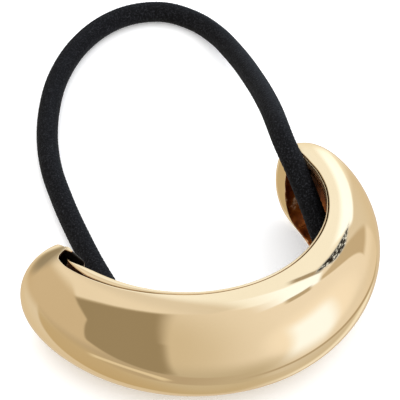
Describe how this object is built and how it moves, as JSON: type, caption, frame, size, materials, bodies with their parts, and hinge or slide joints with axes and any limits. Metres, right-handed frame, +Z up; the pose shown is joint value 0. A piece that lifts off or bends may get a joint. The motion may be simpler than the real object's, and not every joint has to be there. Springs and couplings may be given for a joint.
{
  "type": "hair tie",
  "caption": "Hair tie: a polished pale gold crescent cuff, hollow and open inside, on a loop of round black elastic.",
  "frame": {"origin": "under the middle of the cuff's box, on the surface that the cuff lies on", "axes": "+Z up from that surface, +X to the right arm with the dome towards the viewer, +Y from the dome to the gap between the arms, where the loose elastic lies"},
  "size_m": [0.0506, 0.0675, 0.0145],
  "materials": {
    "polished_gold": "polished",
    "plain_gold": "satin",
    "black_elastic": "matte"
  },
  "bodies": {
    "root": {"cuff": "polished_gold", "keeper_bar": "plain_gold", "elastic": "black_elastic"}
  },
  "joints": []
}
